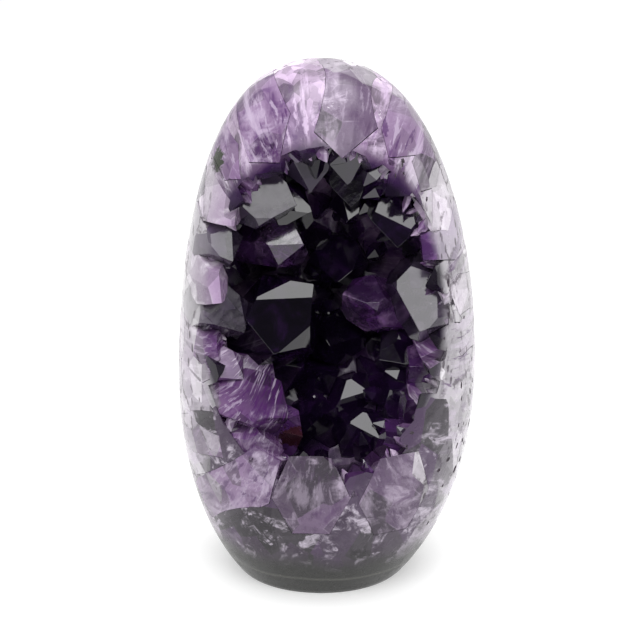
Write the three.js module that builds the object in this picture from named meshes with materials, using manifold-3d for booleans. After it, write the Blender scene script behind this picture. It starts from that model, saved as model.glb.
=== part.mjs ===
// An amethyst geode: a quartz stone sawn flat underneath and polished to an egg, open at the front
// on a hollow that is lined with amethyst points. Millimetres, +Z up, the hollow faces -Y, and the
// origin is the middle of the sawn base. The stone is one piece, and each large point is a piece
// that grows out of it: the polished egg cuts off whatever stands proud.
import * as THREE from "three";
import { mergeVertices } from "three/addons/utils/BufferGeometryUtils.js";
import Module from "manifold-3d";

// ---------------------------------------------------------------- driving dimensions

const HEIGHT = 112;
const WIDTH = 63;
const DEPTH = 54;

// The egg is widest at WAIST. Above it the outline is a blunt dome, and below it half an ellipse,
// which the saw cut at the base leaves open.
const WAIST = 44;
const DOME_BLUNTNESS = 0.4;
const LOWER_REACH = 53.6;
const SIDE_BULGE = 1.2;
const BASE_BEVEL = 0.8;
const EGG_SEGMENTS = 36;
const EGG_RINGS_ABOVE = 11;
const EGG_RINGS_BELOW = 6;

// The hollow is an ellipsoid that breaks through the front of the egg.
const HOLLOW = {
  centre: new THREE.Vector3(-0.8, -19, 64),
  radii: new THREE.Vector3(26, 29, 36),
};

// Quartz: the angle between a rhombohedral end face and the long axis of the point.
const END_FACE_ANGLE = THREE.MathUtils.degToRad(38.2);
// A point narrows towards its root, because its neighbours crowd it there.
const ROOT_TAPER = 0.74;
// Clear gap between two pieces that grow against each other.
const GAP = 0.3;

// The small points that fill the wall between the large ones.
const DRUSE = {
  count: 190,
  seed: 11,
  narrowest: 7,
  widest: 11,
  shortest: 2,
  longest: 5,
  rootDepth: 4,
  lean: 0.35,
  // Share of a large point's width, about its axis, where no small point grows.
  clearance: 0.22,
};

// ---------------------------------------------------------------- the large points

// Each grows from its root, in the wall, to its tip. Width is across the corners of the prism, and
// side is the way that one of its three large end faces looks. Minor is the share of the width that
// the three smaller end faces stand off by: 0 gives six equal end faces. Earlier points cut later ones.
const UP = [0, 0, 1];
const DOWN = [0, 0, -1];
const FRONT = [0, -1, 0];
const POINTS = [
  // the back and the left of the hollow
  { name: "centre_left_large", root: [-20.5, 3, 45], tip: [-2.8, -12, 67], width: 20, side: [-0.55, -0.83, -0.12], minor: 0.1 },
  { name: "right_large", root: [23.5, 6, 67], tip: [17, -17, 61.5], width: 19, side: [0, -0.8, 0.6], minor: 0.16 },
  { name: "upper_right_dark", root: [16, 8, 90], tip: [13, -10, 76.5], width: 12.5, side: UP, minor: 0.2 },
  { name: "left_dark", root: [-29, 4, 82], tip: [-19.5, -13.5, 73.5], width: 12.5, side: [0, -0.5, 0.8], minor: 0.12 },
  { name: "left_lower_grey", root: [-30, 1, 66], tip: [-18, -14, 59], width: 14, side: [0.2, -0.7, 0.7], minor: 0.12 },
  { name: "upper_left_pale", root: [-24, 0, 86], tip: [-7, -13, 86.5], width: 14, side: [-0.2, -0.8, 0.5], minor: 0.14 },
  { name: "mid_left_upper", root: [-17, 6, 81], tip: [-2.5, -8, 82.5], width: 13, side: [0, -0.8, 0.6], minor: 0.1 },
  { name: "mid_left_lower", root: [-18, 4, 73], tip: [-4, -10, 77.5], width: 13, side: [0, -0.8, 0.6], minor: 0.12 },
  { name: "centre_small", root: [7, 14, 86], tip: [5, -2, 78.5], width: 11, side: [0, -0.8, 0.6], minor: 0.08 },
  { name: "centre_right_purple", root: [20, 6, 56], tip: [3.5, -6, 63], width: 13, side: [0.3, -0.4, -1], minor: 0.15 },
  { name: "centre_deep", root: [3, 18, 68], tip: [2, 0, 66], width: 14, side: UP, minor: 0.1 },
  { name: "centre_low", root: [3, 16, 50], tip: [2, -4, 52], width: 14, side: [0.4, 0, 1], minor: 0.14 },
  { name: "left_inner", root: [-16, 8, 43], tip: [-6, -8, 50], width: 14, side: [0, -0.3, 1], minor: 0.1 },
  { name: "right_low", root: [22, 7, 47], tip: [12, -7, 51], width: 14, side: [0.2, -0.5, 0.8], minor: 0.12 },
  // under the upper rim
  { name: "upper_centre_grey", root: [-5, 4, 101], tip: [-2, -9, 88], width: 13, side: [0, -0.8, 0.6], minor: 0.12 },
  { name: "upper_centre_right", root: [6, 8, 97], tip: [4, -6, 84], width: 11, side: UP, minor: 0.14 },
  { name: "upper_middle_dark", root: [5, -3, 106], tip: [3, -13, 91], width: 12, side: FRONT, minor: 0.1 },
  { name: "upper_left_fan", root: [-21, 1, 97], tip: [-14, -14, 91], width: 12, side: [0.3, -0.4, 1], minor: 0.15 },
  { name: "upper_rim_small", root: [-12, 3, 103], tip: [-8, -12, 93], width: 11, side: [-0.3, 0, 1], minor: 0.1 },
  { name: "upper_right_small", root: [13, 2, 99], tip: [10.5, -12, 89], width: 11, side: UP, minor: 0.1 },
  // the floor of the hollow
  { name: "floor_centre", root: [6, 12, 26], tip: [5, -4, 42], width: 14, side: [0.2, -1, 0], minor: 0.15 },
  { name: "floor_front", root: [10, 3, 17], tip: [8, -13, 39], width: 15, side: [-0.3, -1, 0], minor: 0.12 },
  { name: "floor_right", root: [22, 7, 29], tip: [12, -9, 45], width: 15, side: [0, -1, 0], minor: 0.12 },
  { name: "floor_left", root: [-6, 8, 22], tip: [-1.5, -11, 39], width: 14, side: [0.3, -1, 0], minor: 0.12 },
  { name: "floor_back_left", root: [-5, 14, 37], tip: [-2, -2, 46], width: 12, side: UP, minor: 0.1 },
  { name: "floor_back_right", root: [15, 14, 36], tip: [9, -1, 46], width: 13, side: [0.2, 0, 1], minor: 0.14 },
  // the lower left of the rim, where long lilac points lie across the polish
  { name: "lower_left_lilac", root: [-31, -8, 46], tip: [-7.5, -18, 43.5], width: 14, side: [0, -0.3, 1], minor: 0.3 },
  { name: "lower_left_purple", root: [-24, -2, 34], tip: [-5, -14, 37.5], width: 13, side: UP, minor: 0.3 },
  { name: "lower_left_grey", root: [-31, -9, 35], tip: [-9, -20.5, 37], width: 11, side: FRONT, minor: 0.2 },
  { name: "lower_left_foot", root: [-26, -8, 20], tip: [-9, -26, 35], width: 14, side: [0, -1, 0.5], minor: 0.3 },
  { name: "left_flat_outer", root: [-30, -4, 53], tip: [-18, -17, 50], width: 10.5, side: [-0.1, -0.5, 0.85], minor: 0.1 },
  { name: "left_flat_inner", root: [-25, -1, 48], tip: [-10.5, -13, 49], width: 10.5, side: [-0.1, -0.5, 0.85], minor: 0.1 },
  // broad points that the polish cuts right across, below and above the hollow
  { name: "front_lower_large", root: [-2.5, -5, 14], tip: [-3.8, -36, 35], width: 17.5, side: DOWN, minor: 0.3 },
  { name: "front_lower_right", root: [6, -4, 14], tip: [20, -34, 35], width: 18, side: DOWN, minor: 0.3 },
  { name: "crown_large", root: [4, 4, 113], tip: [3, -18, 97], width: 15, side: UP, minor: 0.3 },
  { name: "crown_left", root: [-15, 0, 108], tip: [-10, -19, 98], width: 14, side: DOWN, minor: 0.3 },
  { name: "crown_right", root: [17, 0, 105], tip: [14, -16, 96], width: 13, side: DOWN, minor: 0.3 },
  // the left rim
  { name: "left_rim_pale", root: [-27, -1, 91], tip: [-19.5, -15, 82], width: 11, side: FRONT, minor: 0.2 },
  { name: "left_rim_white", root: [-30, -3, 74], tip: [-21.5, -15.5, 67], width: 10.5, side: DOWN, minor: 0.2 },
  { name: "left_rim_violet", root: [-30, -3, 58], tip: [-21.5, -15.5, 53.5], width: 10, side: DOWN, minor: 0.2 },
  // the right rim
  { name: "right_rim_top", root: [21, 1, 97], tip: [16.5, -13, 89], width: 10, side: FRONT, minor: 0.2 },
  { name: "right_rim_upper", root: [26, -3, 89], tip: [20, -14, 82], width: 11, side: UP, minor: 0.2 },
  { name: "right_rim_corner", root: [28, -2, 81], tip: [19, -14, 74.5], width: 11, side: [0, -1, 0.4], minor: 0.3 },
  { name: "right_rim_frosted", root: [29, -1, 64], tip: [22.5, -14.5, 67], width: 11, side: UP, minor: 0.1 },
  { name: "right_rim_pink", root: [29, 0, 55], tip: [19.5, -15, 53], width: 12, side: UP, minor: 0.2 },
  { name: "right_rim_dark", root: [27, 4, 44], tip: [17, -11, 49], width: 13, side: [0, -0.5, 1], minor: 0.3 },
  { name: "right_rim_lower", root: [27, -1, 33], tip: [17.5, -16, 45], width: 13, side: FRONT, minor: 0.2 },
  { name: "right_rim_foot", root: [23, -2, 20], tip: [13, -18, 39], width: 13.5, side: FRONT, minor: 0.25 },
];

// ---------------------------------------------------------------- materials

const finish = (color, roughness) => new THREE.MeshStandardMaterial({ color, roughness, metalness: 0 });
const POLISHED_QUARTZ = finish(0xb9a8c6, 0.12);
const AMETHYST = finish(0x4a2a70, 0.08);

// ---------------------------------------------------------------- three.js geometry to solid and back

const wasm = await Module();
wasm.setup();

/** A closed three.js geometry as a manifold-3d solid. */
function solidOf(geometry) {
  const bare = geometry.clone();
  bare.deleteAttribute("normal");
  bare.deleteAttribute("uv");
  const merged = mergeVertices(bare, 1e-4);
  return new wasm.Manifold(
    new wasm.Mesh({
      numProp: 3,
      vertProperties: merged.attributes.position.array,
      triVerts: new Uint32Array(merged.index.array),
    }),
  );
}

/** The largest body of a solid, as a flat-shaded three.js geometry. */
function geometryOf(solid) {
  const [largest] = solid.decompose().sort((a, b) => b.volume() - a.volume());
  const mesh = largest.getMesh();
  const indexed = new THREE.BufferGeometry();
  indexed.setAttribute("position", new THREE.BufferAttribute(new Float32Array(mesh.vertProperties), 3));
  indexed.setIndex(new THREE.BufferAttribute(new Uint32Array(mesh.triVerts), 1));
  const faceted = indexed.toNonIndexed();
  faceted.computeVertexNormals();
  return faceted;
}

// ---------------------------------------------------------------- the polished egg

/** Half the egg's width at a height above the base. */
function halfWidth(z) {
  if (z >= WAIST) {
    const t = (z - WAIST) / (HEIGHT - WAIST);
    return (WIDTH / 2) * Math.pow(Math.max(0, 1 - t * t), DOME_BLUNTNESS);
  }
  const t = (WAIST - z) / LOWER_REACH;
  return (WIDTH / 2) * Math.sqrt(1 - t * t);
}

/** The egg as one closed geometry, before it is hollowed. */
function eggGeometry() {
  const outline = [new THREE.Vector2(0, 0), new THREE.Vector2(halfWidth(BASE_BEVEL) - BASE_BEVEL, 0)];
  for (let i = 0; i <= EGG_RINGS_BELOW; i++) {
    const z = BASE_BEVEL + ((WAIST - BASE_BEVEL) * i) / EGG_RINGS_BELOW;
    outline.push(new THREE.Vector2(halfWidth(z), z));
  }
  for (let i = 1; i <= EGG_RINGS_ABOVE; i++) {
    // Rings crowd towards the crown, where the outline turns fastest.
    const z = WAIST + (HEIGHT - WAIST) * Math.sin((Math.PI / 2) * (i / EGG_RINGS_ABOVE));
    outline.push(new THREE.Vector2(i === EGG_RINGS_ABOVE ? 0 : halfWidth(z), z));
  }
  const egg = new THREE.LatheGeometry(outline, EGG_SEGMENTS).rotateX(Math.PI / 2);
  egg.scale(1, DEPTH / WIDTH, 1);
  const position = egg.attributes.position;
  for (let i = 0; i < position.count; i++) {
    const z = position.getZ(i);
    position.setX(i, position.getX(i) + SIDE_BULGE * Math.sin((Math.PI * z) / HEIGHT));
  }
  egg.computeBoundingBox();
  const middle = egg.boundingBox.getCenter(new THREE.Vector3());
  return egg.translate(-middle.x, -middle.y, 0);
}

/** The ellipsoid that the hollow is cut with. */
function hollowGeometry() {
  return new THREE.SphereGeometry(1, 28, 18)
    .scale(HOLLOW.radii.x, HOLLOW.radii.y, HOLLOW.radii.z)
    .translate(HOLLOW.centre.x, HOLLOW.centre.y, HOLLOW.centre.z);
}

// ---------------------------------------------------------------- amethyst points

/** A three-sided pyramid with the slope of quartz end faces, its peak at the origin, opening down -Z. */
function endFaces(reach, spin) {
  const radius = 2 * reach * Math.tan(END_FACE_ANGLE);
  return new THREE.ConeGeometry(radius, reach, 3)
    .rotateX(Math.PI / 2)
    .rotateZ(spin)
    .translate(0, 0, -reach / 2);
}

/** A quartz point in its own frame: the tip near the origin, the root at -Z. `swell` makes it fatter all round. */
function pointSolid({ width, length, minor, swell = 0, skew = [0, 0] }) {
  const radius = width / 2 + swell;
  const root = length + swell;
  const top = 2 * swell;
  const prism = new THREE.CylinderGeometry(radius, radius * ROOT_TAPER, root + top, 6)
    .rotateX(Math.PI / 2)
    .translate(0, 0, (top - root) / 2);
  const reach = root * 1.2 + 2 * width;
  // Moving a face out by the swell lifts the peak by the swell over the sine of the face's angle.
  const lift = swell / Math.sin(END_FACE_ANGLE);
  const sixth = Math.PI / 6;
  const major = endFaces(reach, sixth).translate(skew[0] * width, skew[1] * width, lift);
  const lesser = endFaces(reach, sixth + Math.PI / 3).translate(0, 0, lift + minor * width);
  return solidOf(prism).intersect(solidOf(major)).intersect(solidOf(lesser));
}

/** The frame of a point: its origin at the tip, +Z along the growth axis, +X as near as it can be to the side. */
function pointFrame(root, tip, side) {
  const axis = tip.clone().sub(root).normalize();
  const across = new THREE.Vector3().crossVectors(axis, side).normalize();
  const towards = new THREE.Vector3().crossVectors(across, axis);
  return new THREE.Matrix4().makeBasis(towards, across, axis).setPosition(tip);
}

/** A large point in the stone's frame, as it is and swollen by the gap. */
function growPoint(spec, index) {
  const root = new THREE.Vector3(...spec.root);
  const tip = new THREE.Vector3(...spec.tip);
  const frame = pointFrame(root, tip, new THREE.Vector3(...spec.side));
  const random = THREE.MathUtils.seededRandom(index + 1);
  const shape = {
    width: spec.width,
    length: root.distanceTo(tip),
    minor: spec.minor,
    skew: [0.1 * Math.cos(2 * Math.PI * random), 0.1 * Math.sin(2 * Math.PI * random)],
  };
  return {
    frame,
    solid: pointSolid(shape).transform(frame.elements),
    swollen: pointSolid({ ...shape, swell: GAP }).transform(frame.elements),
  };
}

/** Whether a place on the wall is taken by a large point. */
function crowded(wall) {
  return POINTS.some(({ root, tip, width }) => {
    const axis = new THREE.Line3(new THREE.Vector3(...root), new THREE.Vector3(...tip));
    const nearest = axis.closestPointToPoint(wall, true, new THREE.Vector3());
    return nearest.distanceTo(wall) < DRUSE.clearance * width;
  });
}

/** The small points on the hollow's wall, joined into one solid. */
function druseSolid() {
  let seed = DRUSE.seed;
  const random = (low, high) => low + (high - low) * THREE.MathUtils.seededRandom(seed++);
  const goldenAngle = Math.PI * (3 - Math.sqrt(5));
  const points = [];
  for (let i = 0; i < DRUSE.count; i++) {
    // Evenly spread directions, with a little scatter.
    const up = 1 - (2 * (i + 0.5)) / DRUSE.count;
    const level = Math.sqrt(1 - up * up);
    const turn = i * goldenAngle + random(-0.12, 0.12);
    const outward = new THREE.Vector3(level * Math.cos(turn), level * Math.sin(turn), up);
    const wall = outward.clone().multiply(HOLLOW.radii).add(HOLLOW.centre);
    const normal = outward.clone().divide(HOLLOW.radii).normalize();
    const lean = new THREE.Vector3(random(-1, 1), random(-1, 1), random(-1, 1)).multiplyScalar(DRUSE.lean);
    const inward = normal.negate().add(lean).normalize();
    const shape = {
      width: random(DRUSE.narrowest, DRUSE.widest),
      length: DRUSE.rootDepth + random(DRUSE.shortest, DRUSE.longest),
      minor: random(0, 0.3),
      skew: [random(-0.1, 0.1), random(-0.1, 0.1)],
    };
    const side = new THREE.Vector3(random(-1, 1), random(-1, 1), random(-1, 1));
    if (wall.y < -DEPTH / 2 || crowded(wall)) continue;
    const tip = wall.clone().addScaledVector(inward, shape.length - DRUSE.rootDepth);
    const root = wall.clone().addScaledVector(inward, -DRUSE.rootDepth);
    points.push(pointSolid(shape).transform(pointFrame(root, tip, side).elements));
  }
  return wasm.Manifold.union(points);
}

// ---------------------------------------------------------------- assembly

/** A named mesh whose geometry is in its own frame and whose place is in its matrix. */
function placedMesh(name, solid, material, frame = new THREE.Matrix4()) {
  const geometry = geometryOf(solid).applyMatrix4(frame.clone().invert());
  const mesh = new THREE.Mesh(geometry, material);
  mesh.name = name;
  mesh.applyMatrix4(frame);
  return mesh;
}

/** The whole geode: the stone, and a group that holds its large points. */
function buildGeode() {
  const egg = solidOf(eggGeometry());
  const crystals = new THREE.Group();
  let taken = [];
  POINTS.forEach((spec, index) => {
    const grown = growPoint(spec, index);
    let solid = grown.solid.intersect(egg);
    if (taken.length) solid = solid.subtract(wasm.Manifold.union(taken));
    crystals.add(placedMesh(`crystal_${spec.name}`, solid, AMETHYST, grown.frame));
    taken = [...taken, grown.swollen];
  });
  const lined = egg.subtract(solidOf(hollowGeometry())).add(druseSolid().intersect(egg));
  const stone = placedMesh("polished_stone", lined.subtract(wasm.Manifold.union(taken)), POLISHED_QUARTZ);
  const geode = new THREE.Group();
  geode.add(stone, crystals);
  return geode;
}

export default buildGeode();
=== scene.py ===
"""Looks for a free-standing amethyst geode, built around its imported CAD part.

A quartz stone is sawn flat underneath and polished to an egg. Its front opens on a hollow lined with
dark amethyst points. Everything is in metres, +Z is up and the hollow faces -Y.
"""

import logging
import math
import random
from dataclasses import dataclass, field
from enum import Enum
from typing import Sequence

import bmesh
import bpy
from mathutils import Euler, Matrix, Vector

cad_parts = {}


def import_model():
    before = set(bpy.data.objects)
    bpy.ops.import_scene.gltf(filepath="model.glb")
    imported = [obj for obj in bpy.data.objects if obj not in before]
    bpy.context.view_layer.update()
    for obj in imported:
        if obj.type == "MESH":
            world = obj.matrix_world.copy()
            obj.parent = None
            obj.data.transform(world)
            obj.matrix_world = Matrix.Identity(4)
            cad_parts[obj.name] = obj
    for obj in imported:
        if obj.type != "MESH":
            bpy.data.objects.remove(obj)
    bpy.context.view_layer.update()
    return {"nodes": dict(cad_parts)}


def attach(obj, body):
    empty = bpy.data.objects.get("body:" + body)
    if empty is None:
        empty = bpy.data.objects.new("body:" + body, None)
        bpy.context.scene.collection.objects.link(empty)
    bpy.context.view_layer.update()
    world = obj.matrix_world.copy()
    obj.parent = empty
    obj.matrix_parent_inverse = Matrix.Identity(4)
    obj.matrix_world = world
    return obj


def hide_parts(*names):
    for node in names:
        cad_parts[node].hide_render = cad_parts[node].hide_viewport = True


LOG = logging.getLogger("geode")
MM = 0.001
BODY = "root"
STONE_NODE = "polished_stone"
POINT_PREFIX = "crystal_"

# The hollow is an ellipsoid, and the colour of the quartz follows it outwards: nearly black at the
# tips inside it, violet at its wall, and pale towards the rind.
HOLLOW_CENTRE = Vector((-0.8, -19.0, 64.0)) * MM
HOLLOW_RADII = Vector((26.0, 29.0, 36.0)) * MM

QUARTZ_IOR = 1.55
BLOCK_SQUASH = 0.6
NOISE_MIDDLE = (0.5, 0.5, 0.5)
# Where a Mix node keeps its two colours and the mixed one.
MIX_COLOUR_INPUTS = (6, 7)
MIX_COLOUR_OUTPUT = 2

WELD = 1e-6
# Edges sharper than this stay sharp, in degrees.
SHARP_EDGE = 8

Triple = tuple[float, float, float]
Colour = Triple
Step = tuple[float, float]
ALL: Step = (0.0, 1.0)
Socket = bpy.types.NodeSocket
Piece = bpy.types.Object
Material = bpy.types.Material


# ---------------------------------------------------------------- helpers for editing


def deselect_everything() -> None:
    """Leaves object mode on with nothing selected."""
    if bpy.context.object is not None and bpy.context.object.mode != "OBJECT":
        bpy.ops.object.mode_set(mode="OBJECT")
    bpy.ops.object.select_all(action="DESELECT")


def make_active(piece: Piece) -> None:
    """Selects one object alone and makes it active."""
    deselect_everything()
    piece.select_set(True)
    bpy.context.view_layer.objects.active = piece


def edit(piece: Piece) -> None:
    """Opens a piece in edit mode, with all of its mesh selected."""
    make_active(piece)
    bpy.ops.object.mode_set(mode="EDIT")
    bpy.ops.mesh.select_all(action="SELECT")


def apply_modifiers(piece: Piece) -> None:
    """Applies every modifier of a piece, in order."""
    make_active(piece)
    for modifier in list(piece.modifiers):
        bpy.ops.object.modifier_apply(modifier=modifier.name)


def boolean(piece: Piece, tool: Piece, operation: str, solver: str = "MANIFOLD",
            materials: str = "INDEX") -> None:
    """Cuts or joins a piece with a tool and applies it at once.

    Args:
        piece: The object that is changed.
        tool: The object it is changed with, which stays.
        operation: INTERSECT, DIFFERENCE or UNION.
        solver: The boolean solver, where EXACT allows for a piece that crosses itself.
        materials: TRANSFER to bring the tool's own material along.
    """
    modifier = piece.modifiers.new("shape", "BOOLEAN")
    modifier.operation = operation
    modifier.object = tool
    modifier.solver = solver
    modifier.use_self = solver == "EXACT"
    modifier.material_mode = materials
    apply_modifiers(piece)


def smooth(piece: Piece) -> None:
    """Shades a piece smooth, apart from its sharp edges."""
    make_active(piece)
    bpy.ops.object.shade_smooth_by_angle(angle=math.radians(SHARP_EDGE))


def spawn(model: Piece) -> Piece:
    """A copy of an object in the scene, with its own mesh."""
    piece = model.copy()
    piece.data = model.data.copy()
    bpy.context.scene.collection.objects.link(piece)
    return piece


def join(pieces: Sequence[Piece], name: str) -> Piece:
    """Joins objects into one, whose mesh takes in their places, turns and sizes.

    Args:
        pieces: The objects, of which the first is kept.
        name: The name of the joined object and its mesh.

    Returns:
        The joined object.
    """
    make_active(pieces[0])
    for piece in pieces:
        piece.select_set(True)
    bpy.ops.object.transform_apply(location=True, rotation=True, scale=True)
    bpy.ops.object.join()
    whole = bpy.context.object
    whole.name = name
    whole.data.name = name
    return whole


def dress(piece: Piece, material: Material) -> None:
    """Gives a whole piece one material."""
    piece.data.materials.clear()
    piece.data.materials.append(material)
    piece.data.polygons.foreach_set("material_index", [0] * len(piece.data.polygons))


def copy_of_node(node: Piece, name: str, flatness: float) -> Piece:
    """A copy of a CAD node, with its own mesh of whole faces.

    Args:
        node: The node to copy.
        name: The name of the copy.
        flatness: Triangles that meet at less than this angle, in degrees, become one face.

    Returns:
        The copy, whose loose triangles are merged.
    """
    piece = spawn(node)
    piece.name = name
    piece.data.name = name
    for key in list(piece.keys()):
        if key.startswith("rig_"):
            del piece[key]
    piece.parent = None
    piece.matrix_world = Matrix.Identity(4)
    piece.data.materials.clear()
    edit(piece)
    bpy.ops.mesh.remove_doubles(threshold=WELD)
    bpy.ops.mesh.normals_make_consistent(inside=False)
    bpy.ops.object.mode_set(mode="OBJECT")
    if "sharp_face" in piece.data.attributes:
        piece.data.attributes.remove(piece.data.attributes["sharp_face"])
    edit(piece)
    bpy.ops.mesh.dissolve_limited(angle_limit=math.radians(flatness))
    bpy.ops.object.mode_set(mode="OBJECT")
    return piece


@dataclass(frozen=True)
class Sway:
    """How far coordinates are pushed about, by a noise of so many cycles per metre."""

    amount: float
    scale: float


@dataclass(frozen=True)
class Spot:
    """A stained place."""

    colour: Colour
    middle: Vector
    radius: float


MOSS = Spot((0.016, 0.022, 0.010), Vector((-20.3, -6.0, 93.0)) * MM, 3.4 * MM)
STAIN = Spot((0.032, 0.008, 0.014), Vector((-6.4, -16.0, 36.5)) * MM, 3.6 * MM)


# ---------------------------------------------------------------- helpers for materials


class Recipe:
    """A material's node tree, with short ways to add to it."""

    def __init__(self, name: str) -> None:
        """Makes an empty material that has a Principled shader."""
        self.material = bpy.data.materials.new(name)
        self.material.use_nodes = True
        self.tree = self.material.node_tree
        self.shader = self.tree.nodes["Principled BSDF"]
        coordinates = self.tree.nodes.new("ShaderNodeTexCoord")
        self.place = coordinates.outputs["Object"]
        self.colour: object = None

    def plug(self, socket: Socket, value: object) -> None:
        """Links a socket to another one, or sets it to a value."""
        if isinstance(value, bpy.types.NodeSocket):
            self.tree.links.new(value, socket)
        else:
            socket.default_value = value

    def add(self, kind: str, inputs: dict[str, object]) -> bpy.types.Node:
        """Adds a shader node, with inputs plugged by name."""
        node = self.tree.nodes.new("ShaderNode" + kind)
        for name, value in inputs.items():
            self.plug(node.inputs[name], value)
        return node

    def apply(self, kind: str, operation: str, values: tuple) -> bpy.types.Node:
        """Adds a Math or Vector Math node on some values."""
        node = self.add(kind, {})
        node.operation = operation
        for socket, value in zip(node.inputs, values):
            self.plug(socket, value)
        return node

    def maths(self, operation: str, *values: object) -> Socket:
        """A Math node on one to three values."""
        return self.apply("Math", operation, values).outputs[0]

    def vector(self, operation: str, *values: object) -> Socket:
        """A Vector Math node on one or two values."""
        return self.apply("VectorMath", operation, values).outputs[0]

    def length(self, vector: object) -> Socket:
        """The length of a vector."""
        return self.apply("VectorMath", "LENGTH", (vector,)).outputs["Value"]

    def scaled(self, vector: object, factor: object) -> Socket:
        """A vector or a colour multiplied by a number."""
        node = self.apply("VectorMath", "SCALE", (vector,))
        self.plug(node.inputs["Scale"], factor)
        return node.outputs[0]

    def stretched(self, scale: Triple, turn: Triple) -> Socket:
        """The object's own coordinates, turned and then scaled by axis."""
        turned = self.add("VectorRotate", {"Vector": self.place})
        turned.rotation_type = "EULER_XYZ"
        self.plug(turned.inputs["Rotation"], turn)
        return self.vector("MULTIPLY", turned.outputs[0], scale)

    def drifted(self, sway: Sway, vector: object = None) -> Socket:
        """Coordinates pushed about by a cloudy noise, by an amount in their own unit."""
        clouds = self.add("TexNoise", {"Vector": self.place, "Scale": sway.scale}).outputs["Color"]
        push = self.scaled(self.vector("SUBTRACT", clouds, NOISE_MIDDLE), sway.amount)
        return self.vector("ADD", vector or self.place, push)

    def parts(self, colour: object) -> list[Socket]:
        """The three channels of a colour."""
        return list(self.add("SeparateColor", {"Color": colour}).outputs)

    def axes(self, vector: object) -> list[Socket]:
        """The X, Y and Z of a vector."""
        return list(self.add("SeparateXYZ", {"Vector": vector}).outputs)

    def product(self, *values: object) -> Socket:
        """Several numbers multiplied together."""
        total = values[0]
        for value in values[1:]:
            total = self.maths("MULTIPLY", total, value)
        return total

    def centred(self, value: object, spread: float) -> Socket:
        """A number from 0 to 1, moved to lie half a spread either side of 0."""
        return self.maths("MULTIPLY_ADD", value, spread, -spread / 2)

    def noise(self, scale: float, detail: float = 3.0, rough: float = 0.5, vector: object = None,
              warp: float = 0.0) -> Socket:
        """Cloudy noise from 0 to 1, with a scale in cycles per metre."""
        settings = {"Scale": scale, "Detail": detail, "Roughness": rough, "Distortion": warp}
        return self.add("TexNoise", {"Vector": vector or self.place, **settings}).outputs[0]

    def cells(self, scale: float, vector: object, output: str = "Distance", feature: str = "F1") -> Socket:
        """A cell pattern: the distance into each cell, its middle or its colour."""
        node = self.add("TexVoronoi", {"Vector": vector, "Scale": scale})
        node.feature = feature
        return node.outputs[output]

    def cell_edges(self, scale: float, vector: object) -> Socket:
        """How far the nearest edge of a cell pattern is."""
        return self.cells(scale, vector, feature="DISTANCE_TO_EDGE")

    def ramp(self, value: object, places: Sequence[float], colours: Sequence[Colour]) -> Socket:
        """A colour for each value, from rising places that have a colour each."""
        node = self.add("ValToRGB", {"Fac": value})
        elements = node.color_ramp.elements
        while len(elements) < len(places):
            elements.new(places[1])
        for element, place, colour in zip(elements, places, colours):
            element.position = place
            element.color = (*colour, 1.0)
        return node.outputs[0]

    def between(self, value: object, step: Step, results: Step = ALL) -> Socket:
        """A smooth step of a value: where it starts and ends, and what comes out at those two."""
        ends = dict(zip(("From Min", "From Max", "To Min", "To Max"), (*step, *results)))
        node = self.add("MapRange", {"Value": value, **ends})
        node.interpolation_type = "SMOOTHSTEP"
        return node.outputs[0]

    def mix(self, share: object, first: object, second: object, blend: str = "MIX") -> Socket:
        """One colour mixed into another by a share."""
        node = self.add("Mix", {})
        node.data_type = "RGBA"
        node.blend_type = blend
        self.plug(node.inputs[0], share)
        for index, value in zip(MIX_COLOUR_INPUTS, (first, second)):
            self.plug(node.inputs[index], (*value, 1.0) if isinstance(value, tuple) else value)
        return node.outputs[MIX_COLOUR_OUTPUT]

    def lay(self, colour: object, *shares: object) -> None:
        """Lays a colour over the recipe's own, by the product of some shares."""
        self.colour = self.mix(self.product(*shares), self.colour, colour)

    def bump(self, height: object, depth: float, strength: float, normal: object = None) -> Socket:
        """A bump of a height from 0 to 1, with a depth in metres."""
        node = self.add("Bump", {"Height": height, "Distance": depth, "Strength": strength})
        if normal is not None:
            self.plug(node.inputs["Normal"], normal)
        return node.outputs[0]

    def finish(self, settings: dict[str, object]) -> Material:
        """Sets the shader's colour, and other inputs by name, and gives back the material."""
        for name, value in {"Base Color": self.colour, **settings}.items():
            self.plug(self.shader.inputs[name], value)
        return self.material


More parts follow.
